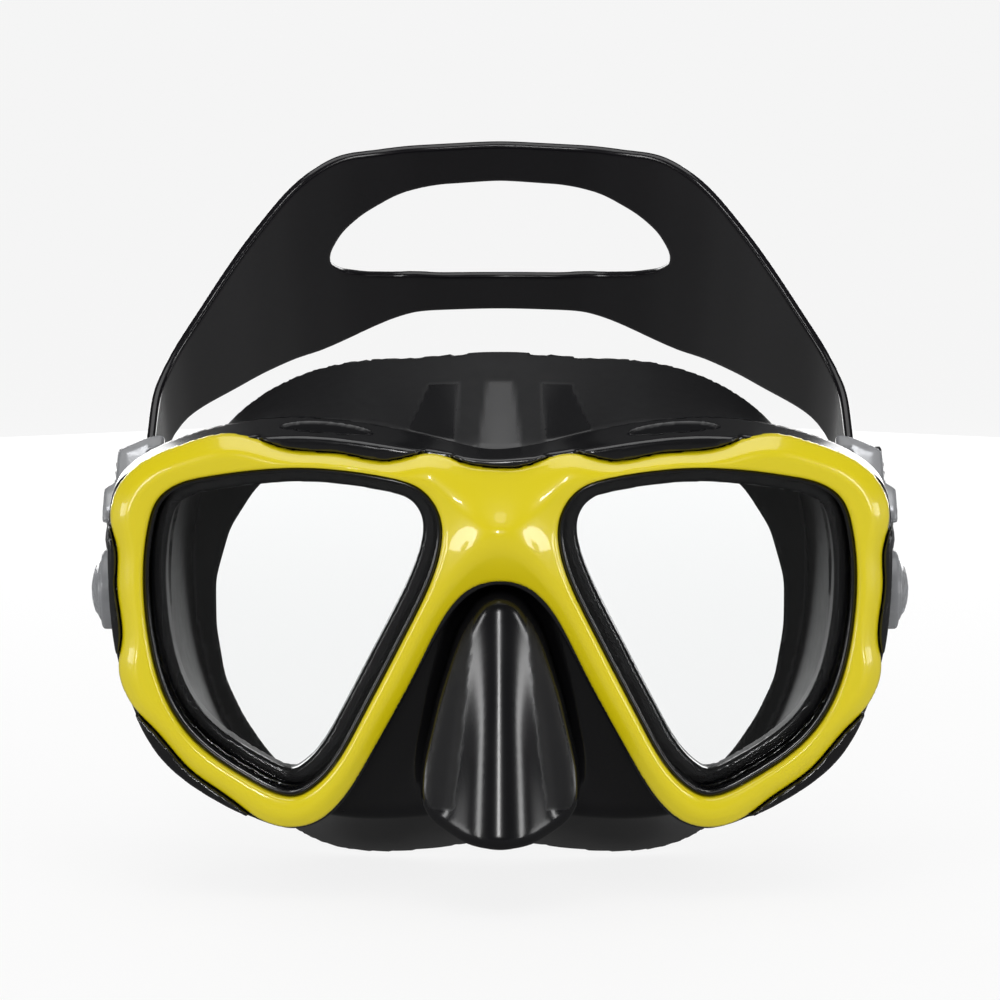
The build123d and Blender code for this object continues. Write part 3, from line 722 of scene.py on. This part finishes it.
path = strap_path()
path[0, 0] = 0
path_run = np.r_[0, np.cumsum(np.linalg.norm(np.diff(path, axis=0), axis=1))]
path_ahead = np.gradient(path, axis=0)
path_ahead /= np.linalg.norm(path_ahead, axis=1, keepdims=True)
tail_run = path_run[-1] - (TAIL_END - roller_u)


def bend_strap(points):
    """Takes points of the flat strap, as (run, height over the head side, width), to their places as worn."""
    run = np.abs(points[:, 0])
    x, u, dx, du = (np.interp(run, path_run, values) for values in (*path.T, *path_ahead.T))
    x, u = x + points[:, 1] * du, u - points[:, 1] * dx
    x = x * np.sign(points[:, 0] + 1e-12)
    return PIVOT + np.outer(x, [1, 0, 0]) + np.outer(u, U_AXIS) + np.outer(points[:, 2], V_AXIS)


def strap_outline():
    """The flat strap's outline, as (run, width)."""
    runs = np.arange(-path_run[-1], path_run[-1] + 1, 1.0)
    table = np.array(STRAP_HALF_WIDTHS).T
    half = blurred(np.interp(np.abs(runs), *table), 3.0, closed=False)
    top = np.stack([runs, half], axis=1)
    return resampled(np.concatenate([top, top[::-1] * (1, -1)]), 0.8)


def hole_outline():
    """The long hole in the back of the strap, the same in all four quarters."""
    half = HOLE_QUARTER + [(s, -w) for s, w in reversed(HOLE_QUARTER)]
    return smooth_outline(np.array(half + [(-s, w) for s, w in reversed(half)], float), blur=1.6)


reach = path_run[-1] + 4
strap_edge = Sheet((-reach, -42), (reach, 42), 0.8, lambda s, w: outline_distance(s, w, strap_outline()))
hole_edge = Sheet((-60, -30), (60, 30), 0.8, lambda s, w: outline_distance(s, w, hole_outline()))


def strap_field(s, n, w):
    """The flat strap: its sheet, and a row of teeth across each tail."""
    edge = round_and(strap_edge(s, w), -hole_edge(s, w), HOLE_EDGE_ROUND)
    body = round_and(edge, np.abs(n) - STRAP_THICK / 2, STRAP_EDGE_ROUND)
    along_tail = np.abs(s) - tail_run + roller_u - TOOTH_FIRST
    place = (along_tail + TOOTH_PITCH / 2) % TOOTH_PITCH - TOOTH_PITCH / 2
    low = (-TOOTH_HALF_THICK, 0, -TOOTH_HALF_WIDTH)
    high = (TOOTH_HALF_THICK, STRAP_THICK / 2 + TOOTH_HEIGHT, TOOTH_HALF_WIDTH)
    tooth = block(place, n, w, low, high, TOOTH_ROUND)
    in_row = np.maximum(-TOOTH_PITCH / 2 - along_tail, along_tail - (TOOTH_COUNT - 0.5) * TOOTH_PITCH)
    return np.minimum(body, np.maximum(tooth, in_row))


strap = shell(
    "strap_shell", strap_field, (-reach, -2.2, -38), (reach, 2.8, 38), (0.8, 0.45, 0.8), warp=bend_strap
)
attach(strap, "head_strap")
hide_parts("strap")

# ---------------------------------------------------------------- buckles, drawn in (u, v, x)
PLATE_IN, PLATE_OUT = 79.5, 82.0
HUB_OUT, HUB_RADIUS, WELL_RADIUS = 84.5, 9.0, 7.65
RAIL_IN, RAIL_OUT, RAIL_TOP = 11.6, 14.0, 88.6
PLATE_END, RAIL_START, RAIL_END = 12.4, 9.5, 33.0
RAIL_STEP, RAIL_LOW = 17.0, 86.0
END_SLOPE, CRADLE_END_ROUND, PAWL_CORNER = 0.55, 0.8, 0.3  # the cradle's end slopes away to the outside
GUIDE_START, GUIDE_IN, GUIDE_WALL = 28.5, 75.6, 1.9
PAWL_SLOT, PAWL_START, PAWL_END = 4.4, 6.0, 12.0
BUCKLE_JOIN, BUCKLE_EDGE, CRADLE_CORNER = 0.6, 0.4, 1.2
RAIL_RUN = 3.0  # the rails step down over this length
RAIL_STEEPNESS = 0.7  # brings the stepped top's field back to true distance
CLEAR = 9  # a cut runs this far past what it cuts
BUTTON_RADIUS, BUTTON_IN, BUTTON_OUT = 7.45, 87.6, 90.8
RIB_PITCH, RIB_HEIGHT, RIB_REACH = 1.9, 0.35, (6.2, 5.0)  # the ribs fade out between these radii
DOME_DROP = 0.035  # per square millimetre of radius
SPRING_RADIUS, SPRING_OUT = 4.0, 89.2  # the room for the spring inside the button


def to_row(points):
    """Takes (u, v, x) points of the left buckle to the row frame."""
    u, v, x = points.T
    return PIVOT + np.outer(x, [1, 0, 0]) + np.outer(u, U_AXIS) + np.outer(v, V_AXIS)


def buckle_field(u, v, x):
    """A hub round the pin, a plate, two rails and the cradle that guides the strap."""
    r = np.hypot(u, v)
    hub = round_and(r - HUB_RADIUS, np.maximum(PLATE_IN - x, x - RAIL_TOP), 0.7)
    hub = round_and(hub, -np.maximum(r - WELL_RADIUS, HUB_OUT - x), 0.25)
    lean_out = np.clip(u / PLATE_END, 0, 1) * (RAIL_OUT - HUB_RADIUS) + HUB_RADIUS
    plate = np.maximum(np.abs(v) - lean_out, np.maximum(-u, u - PLATE_END))
    plate = round_and(plate, np.maximum(PLATE_IN - x, x - PLATE_OUT), BUCKLE_EDGE)
    rail_mid = (RAIL_IN + RAIL_OUT) / 2
    half = (RAIL_OUT - RAIL_IN) / 2
    rail_low, rail_high = (RAIL_START, -half, PLATE_IN), (RAIL_END, half, RAIL_TOP)
    rail = block(u, np.abs(v) - rail_mid, x, rail_low, rail_high, BUCKLE_JOIN)
    rail = round_and(rail, np.abs(v) - lean_out, BUCKLE_EDGE)
    top = RAIL_LOW + (RAIL_TOP - RAIL_LOW) * ramp(RAIL_STEP - u, -RAIL_RUN, 0.0)
    rail = round_and(rail, (x - top) * RAIL_STEEPNESS, BUCKLE_JOIN)
    guide_low, guide_high = (GUIDE_START, -RAIL_OUT, GUIDE_IN), (RAIL_END, RAIL_OUT, RAIL_LOW)
    guide = block(u, v, x, guide_low, guide_high, CRADLE_CORNER)
    slot_low = (GUIDE_START - CLEAR, -RAIL_IN, GUIDE_IN + GUIDE_WALL)
    slot_high = (RAIL_END + CLEAR, RAIL_IN, RAIL_TOP + CLEAR)
    slot = block(u, v, x, slot_low, slot_high, BUCKLE_JOIN)
    guide = round_and(guide, -slot, BUCKLE_EDGE)
    body = round_or(round_or(hub, plate, BUCKLE_JOIN), round_or(rail, guide, BUCKLE_JOIN), BUCKLE_JOIN)
    slope = (u - RAIL_END + END_SLOPE * (x - GUIDE_IN - GUIDE_WALL)) / (1 + END_SLOPE**2) ** 0.5
    body = round_and(body, slope, CRADLE_END_ROUND)
    pawl_low, pawl_high = (PAWL_START, -PAWL_SLOT, HUB_OUT), (PAWL_END, PAWL_SLOT, RAIL_TOP + CLEAR)
    pawl_way = block(u, v, x, pawl_low, pawl_high, PAWL_CORNER)
    return np.maximum(np.maximum(body, -pawl_way), PIN_HOLE - r)


def button_field(u, v, x):
    """A domed push button with raised finger ribs."""
    r = np.hypot(u, v)
    dome = BUTTON_OUT - DOME_DROP * r * r
    ribs = RIB_HEIGHT * (0.5 + 0.5 * np.cos(2 * pi * v / RIB_PITCH)) * ramp(r, *RIB_REACH)
    top = (x - dome - ribs) * 0.8
    body = round_and(round_and(r - BUTTON_RADIUS, top, 0.6), BUTTON_IN - x, 0.2)
    return np.maximum(body, -np.maximum(r - SPRING_RADIUS, x - SPRING_OUT))


buckle_left = shell("buckle_shell_left", buckle_field, (-11, -16, 74), (38, 16, 91), 0.5, warp=to_row)
button_left = shell("button_shell_left", button_field, (-9, -9, 86), (9, 9, 93), 0.35, warp=to_row)
buckle_right = mirrored_copy(buckle_left, "buckle_shell_right")
button_right = mirrored_copy(button_left, "button_shell_right")
pairs = [("left", buckle_left, button_left), ("right", buckle_right, button_right)]
for side, buckle, button in pairs:
    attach(buckle, f"buckle_{side}")
    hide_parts(f"buckle_body_{side}")
    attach(button, f"button_{side}")
    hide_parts(f"release_button_{side}")


# ---------------------------------------------------------------- materials
EDGE_HIGHLIGHT_POINTINESS = 0.53, 0.62  # painted highlight: an edge starts to be painted paler at the first pointiness, and is fully paler at the second
FOREHEAD_PAD_BACK, FOREHEAD_PAD_LENGTH = 31.0, 15
MIDDLE_PAD_HALF, MIDDLE_PAD_FLARE = 3.0, 1.5
SIDE_PAD_X, SIDE_PAD_SHIFT, SIDE_PAD_HALF, SIDE_PAD_FLARE = 12.5, 2.0, 3.6, 1.4
PANEL_TOP, PANEL_BOTTOM, PANEL_BACK = 5, -37, 4  # the satin flanks of the nose pocket, as z, z and y
SATIN_FRONT = 12  # the forehead and the inside are satin behind this y


class Paint:
    """A procedural node material, with a few short ways to add detail."""

    def __init__(self, name, color, roughness, **inputs):
        self.material = bpy.data.materials.new(name)
        self.material.use_nodes = True
        self.nodes = self.material.node_tree.nodes
        self.links = self.material.node_tree.links
        self.shader = self.nodes["Principled BSDF"]
        self.shader.inputs["Base Color"].default_value = (*color, 1)
        self.shader.inputs["Roughness"].default_value = roughness
        for key, value in inputs.items():
            self.shader.inputs[key.replace("_", " ")].default_value = value
        self.place = self.nodes.new("ShaderNodeTexCoord").outputs["Object"]

    def noise(self, scale, detail=3.0):
        node = self.nodes.new("ShaderNodeTexNoise")
        node.inputs["Scale"].default_value = scale
        node.inputs["Detail"].default_value = detail
        self.links.new(self.place, node.inputs["Vector"])
        return node.outputs["Fac"]

    def spread(self, source, low, high):
        """Maps a 0 to 1 value onto low to high."""
        node = self.nodes.new("ShaderNodeMapRange")
        self.links.new(source, node.inputs["Value"])
        node.inputs["To Min"].default_value = low
        node.inputs["To Max"].default_value = high
        return node.outputs["Result"]

    def vary_roughness(self, scale, low, high):
        self.links.new(self.spread(self.noise(scale), low, high), self.shader.inputs["Roughness"])

    def vary_color(self, scale, low, high):
        node = self.nodes.new("ShaderNodeMix")
        node.data_type = "RGBA"
        self.links.new(self.noise(scale), node.inputs["Factor"])
        node.inputs["A"].default_value = (*low, 1)
        node.inputs["B"].default_value = (*high, 1)
        self.links.new(node.outputs["Result"], self.shader.inputs["Base Color"])

    def paint_edge_highlight(self, color, share):
        """Paints a highlight on the sharpest edges, pulling their colour towards a paler one."""
        geometry = self.nodes.new("ShaderNodeNewGeometry")
        edge = self.nodes.new("ShaderNodeMapRange")
        edge.inputs["From Min"].default_value, edge.inputs["From Max"].default_value = EDGE_HIGHLIGHT_POINTINESS
        edge.inputs["To Max"].default_value = share
        self.links.new(geometry.outputs["Pointiness"], edge.inputs["Value"])
        mix = self.nodes.new("ShaderNodeMix")
        mix.data_type = "RGBA"
        self.links.new(edge.outputs["Result"], mix.inputs["Factor"])
        base = self.shader.inputs["Base Color"]
        if base.is_linked:
            self.links.new(base.links[0].from_socket, mix.inputs["A"])
        else:
            mix.inputs["A"].default_value = base.default_value
        mix.inputs["B"].default_value = (*color, 1)
        self.links.new(mix.outputs["Result"], base)

    def satin_where_marked(self, polished, satin):
        """Roughness as (noise scale, low, high), for the plain surface and where `satin` is marked."""
        mark = self.nodes.new("ShaderNodeAttribute")
        mark.attribute_name = "satin"
        self.mark = mark.outputs["Fac"]
        rough = self.nodes.new("ShaderNodeMix")
        self.links.new(self.mark, rough.inputs["Factor"])
        self.links.new(self.spread(self.noise(polished[0]), *polished[1:]), rough.inputs["A"])
        self.links.new(self.spread(self.noise(satin[0]), *satin[1:]), rough.inputs["B"])
        self.links.new(rough.outputs["Result"], self.shader.inputs["Roughness"])

    def grain(self, scale, height_mm):
        """Fine moulded texture as bump."""
        node = self.nodes.new("ShaderNodeBump")
        node.inputs["Strength"].default_value = 1.0
        node.inputs["Distance"].default_value = height_mm / 1000
        self.links.new(self.noise(scale, 6.0), node.inputs["Height"])
        self.links.new(node.outputs["Normal"], self.shader.inputs["Normal"])

    def on(self, *objects):
        for obj in objects:
            obj.data.materials.clear()
            obj.data.materials.append(self.material)


def bezel_paint():
    paint = Paint("glossy_yellow", (0.71, 0.58, 0.002), 0.3, Coat_Weight=0.8, Coat_Roughness=0.05)
    paint.vary_color(14, (0.68, 0.55, 0.002), (0.74, 0.62, 0.003))
    # painted highlight: the sharpest edges of the bezel are painted paler yellow
    paint.paint_edge_highlight((0.76, 0.68, 0.10), 0.25)
    paint.vary_roughness(60, 0.26, 0.38)
    paint.grain(900, 0.0015)
    return paint


def frame_paint():
    paint = Paint("glossy_black", (0.006, 0.006, 0.007), 0.16, Coat_Weight=0.3, Coat_Roughness=0.08)
    # painted highlight: the sharpest edges of the frame and rims are painted grey
    paint.paint_edge_highlight((0.05, 0.05, 0.05), 0.4)
    paint.satin_where_marked((80, 0.12, 0.26), (300, 0.62, 0.72))
    paint.links.new(paint.spread(paint.mark, 0.5, 0.1), paint.shader.inputs["Specular IOR Level"])
    paint.links.new(paint.spread(paint.mark, 0.3, 0.0), paint.shader.inputs["Coat Weight"])
    paint.grain(1200, 0.002)
    return paint


def skirt_paint():
    """Silicone: polished, but satin where the `satin` attribute is 1."""
    paint = Paint("black_silicone", (0.006, 0.006, 0.007), 0.3)
    paint.vary_color(25, (0.004, 0.004, 0.005), (0.009, 0.009, 0.010))
    paint.satin_where_marked((70, 0.14, 0.22), (300, 0.50, 0.62))
    paint.links.new(paint.spread(paint.mark, 0.5, 0.3), paint.shader.inputs["Specular IOR Level"])
    paint.grain(1500, 0.002)
    return paint


def strap_paint():
    paint = Paint("strap_silicone_black", (0.006, 0.005, 0.007), 0.2)
    paint.vary_color(18, (0.004, 0.004, 0.005), (0.009, 0.008, 0.010))
    paint.vary_roughness(45, 0.12, 0.24)
    paint.grain(1300, 0.002)
    return paint


def buckle_paint():
    paint = Paint("smoky_plastic", (0.5, 0.51, 0.53), 0.2, Transmission_Weight=0.6, IOR=1.49)
    paint.vary_color(30, (0.46, 0.47, 0.49), (0.58, 0.59, 0.61))
    paint.vary_roughness(90, 0.15, 0.32)
    paint.grain(1100, 0.006)
    return paint


def inner_paint():
    paint = Paint("acetal", (0.05, 0.05, 0.055), 0.4)
    paint.vary_roughness(200, 0.35, 0.5)
    paint.grain(1600, 0.005)
    return paint


def steel_paint():
    paint = Paint("stainless_steel", (0.55, 0.55, 0.54), 0.28, Metallic=1.0)
    paint.vary_roughness(400, 0.2, 0.4)
    paint.grain(2500, 0.002)
    return paint


def glass_paint():
    """Thin clear glass: light passes straight through, with a reflection that grows at a glancing view."""
    paint = Paint("lens_glass", (1, 1, 1), 0.0)
    nodes, links = paint.nodes, paint.links
    clear = nodes.new("ShaderNodeBsdfTransparent")
    clear.inputs["Color"].default_value = (0.985, 0.99, 0.99, 1)
    shine = nodes.new("ShaderNodeBsdfGlossy")
    links.new(paint.spread(paint.noise(40), 0.01, 0.03), shine.inputs["Roughness"])
    facing = nodes.new("ShaderNodeFresnel")
    facing.inputs["IOR"].default_value = 1.45
    mix = nodes.new("ShaderNodeMixShader")
    links.new(facing.outputs["Fac"], mix.inputs["Fac"])
    links.new(clear.outputs["BSDF"], mix.inputs[1])
    links.new(shine.outputs["BSDF"], mix.inputs[2])
    links.new(mix.outputs["Shader"], nodes["Material Output"].inputs["Surface"])
    return paint


def places(obj):
    """The x, y and z of an object's vertices, in millimetres."""
    points = np.empty(3 * len(obj.data.vertices))
    obj.data.vertices.foreach_get("co", points)
    return 1000 * points.reshape(-1, 3).T


def mark(obj, satin):
    """Writes how satin each vertex is, from 0 to 1."""
    attribute = obj.data.attributes.new("satin", "FLOAT", "POINT")
    attribute.data.foreach_set("value", satin.astype(np.float32))


def forehead_pads(x, y):
    """Three polished patches under the forehead's edge, each narrower towards the back."""
    spread = np.clip((FOREHEAD_PAD_BACK - y) / FOREHEAD_PAD_LENGTH, 0, 1.2)
    middle = np.abs(x) - MIDDLE_PAD_HALF - MIDDLE_PAD_FLARE * spread
    outer = np.abs(np.abs(x) - SIDE_PAD_X - SIDE_PAD_SHIFT * spread) - SIDE_PAD_HALF - SIDE_PAD_FLARE * spread
    inside = np.maximum(np.minimum(middle, outer), y - FOREHEAD_PAD_BACK)
    return ramp(-inside, -0.4, 0.6)


def skirt_satin(x, y, z):
    """The nose pocket's flanks, the forehead and the inside of the skirt are moulded satin."""
    panel = round_and(nose_edge(x, z) + 1.2, 0.9 - ridge_edge(x, z), 0.5)
    panel = np.maximum(panel, np.maximum(z - PANEL_TOP, PANEL_BOTTOM - z))
    flanks = ramp(-panel, -0.2, 0.4) * (y < PANEL_BACK)
    forehead = ramp(z, 34, 42) * (y > SATIN_FRONT) * (1 - forehead_pads(x, y))
    inside = ramp(-skirt_side(x, y, z), 0.9, 1.6) * (y > SATIN_FRONT)
    return np.maximum(np.maximum(flanks, forehead), inside)


def badge_satin(x, y, z):
    """The sunk ovals in the brow are satin too."""
    oval = np.hypot((np.abs(x) - BADGE_X) / BADGE_SIZE[0], (depth(x, y) - BADGE_DEPTH) / BADGE_SIZE[1])
    return ramp(oval, 1.04, 0.96) * (z > 0)


mark(skirt, skirt_satin(*places(skirt)))
mark(main_frame, badge_satin(*places(main_frame)))
bezel_paint().on(bezel)
frame_paint().on(main_frame, retainer_left, retainer_right)
skirt_paint().on(skirt)
strap_paint().on(strap)
smoky = buckle_paint()
for _, buckle, button in pairs:
    smoky.on(buckle, button)
nodes = frame["nodes"]
glass, acetal, steel = glass_paint(), inner_paint(), steel_paint()
for side in ("left", "right"):
    glass.on(nodes[f"lens_{side}"])
    acetal.on(nodes[f"locking_pawl_{side}"], nodes[f"strap_roller_{side}"])
    for part in ("swivel_pin", "swivel_clip", "roller_pin", "pawl_pin", "button_spring"):
        steel.on(nodes[f"{part}_{side}"])

# ---------------------------------------------------------------- floor, light and camera
SHOT_DISTANCE, SHOT_ELEVATION = 0.8, 8.0
SHOT_TARGET = Vector((0, 0, 0.029))
LENS_MM, SENSOR_MM = 134.0, 36.0
FLOOR_HALF, WALL_START, WALL_BEND, FLOOR_GAP = 3.0, 0.9, 0.5, 0.001  # metres
BACKDROP_COLOR = 0.12
BACKDROP_GLOW = (0.84, 0.7, 0.04)  # to the camera, to bounce light and in reflections
WORLD_GLOW = (0.92, 0.3, 0.05)


def by_ray(tree, camera, bounce, reflection):
    """A brightness that differs for the camera, for soft bounce light and for reflections."""
    rays = tree.nodes.new("ShaderNodeLightPath")
    total = None
    for kind, value in (("Is Camera Ray", camera), ("Is Diffuse Ray", bounce)):
        node = tree.nodes.new("ShaderNodeMath")
        node.operation = "MULTIPLY_ADD"
        tree.links.new(rays.outputs[kind], node.inputs[0])
        node.inputs[1].default_value = value - reflection
        node.inputs[2].default_value = reflection
        if total:
            tree.links.new(total, node.inputs[2])
        total = node.outputs[0]
    return total


def pale(name):
    """A plain pale surface, even behind the object, which black pieces hardly reflect."""
    paint = Paint(name, (BACKDROP_COLOR,) * 3, 0.9, Specular_IOR_Level=0.0)
    paint.shader.inputs["Emission Color"].default_value = (1, 1, 1, 1)
    glow = by_ray(paint.material.node_tree, *BACKDROP_GLOW)
    paint.links.new(glow, paint.shader.inputs["Emission Strength"])
    return paint


def backdrop():
    """A floor that sweeps up into a wall behind the object."""
    floor_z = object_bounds()[0][2] - FLOOR_GAP
    profile = [(-FLOOR_HALF, 0.0), (WALL_START, 0.0)]
    for turn in np.linspace(0.1, pi / 2, 12):
        profile.append((WALL_START + WALL_BEND * sin(turn), WALL_BEND - WALL_BEND * cos(turn)))
    profile.append((WALL_START + WALL_BEND, FLOOR_HALF))
    points = np.array([(x, y, floor_z + z) for x in (-FLOOR_HALF, FLOOR_HALF) for y, z in profile]) * 1000
    count = len(profile)
    faces = [(i, i + 1, count + i + 1, count + i) for i in range(count - 1)]
    obj = mesh_object("backdrop", points, faces)
    pale("pale_backdrop").on(obj)
    obj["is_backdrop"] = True


def softbox(name, place, target, size, power):
    """A rectangular light that the camera doesn't see; its size is in metres and its power in watts."""
    light = bpy.data.lights.new(name, "AREA")
    light.shape = "RECTANGLE"
    light.size, light.size_y = size
    light.energy = power
    obj = bpy.data.objects.new(name, light)
    obj.visible_camera = False
    bpy.context.scene.collection.objects.link(obj)
    obj.location = place
    obj.rotation_euler = (Vector(target) - Vector(place)).to_track_quat("-Z", "Y").to_euler()


def camera():
    data = bpy.data.cameras.new("camera")
    data.lens, data.sensor_width = LENS_MM, SENSOR_MM
    obj = bpy.data.objects.new("camera", data)
    bpy.context.scene.collection.objects.link(obj)
    rise = radians(SHOT_ELEVATION)
    obj.location = SHOT_TARGET + SHOT_DISTANCE * Vector((0, -cos(rise), sin(rise)))
    obj.rotation_euler = (SHOT_TARGET - obj.location).to_track_quat("-Z", "Y").to_euler()
    bpy.context.scene.camera = obj


def world():
    """Pale to the camera, dimmer in reflections, so that black stays black."""
    scene = bpy.context.scene
    scene.world = bpy.data.worlds.new("studio")
    scene.world.use_nodes = True
    tree = scene.world.node_tree
    background = tree.nodes["Background"]
    tree.links.new(by_ray(tree, *WORLD_GLOW), background.inputs["Strength"])
    background.inputs["Color"].default_value = (1, 1, 1, 1)
    scene.view_settings.view_transform = "Standard"


backdrop()
softbox("overhead", (0, -0.1, 1.0), (0, 0.02, 0), (0.9, 0.9), 5)
softbox("front", (-0.05, -0.95, 0.35), (0, 0, 0), (0.07, 0.2), 1.3)
for side in (-1, 1):
    softbox("front_strip", (0.75 * side, -0.65, 0.1), (0, 0, 0), (0.14, 0.8), 3.2)
    softbox("side", (0.95 * side, -0.1, -0.15), (0, 0, 0), (0.6, 0.6), 4.2)
    softbox("rear", (0.3 * side, 0.75, 0.15), (0.04 * side, 0.05, 0), (0.4, 0.5), 2.5)
camera()
world()
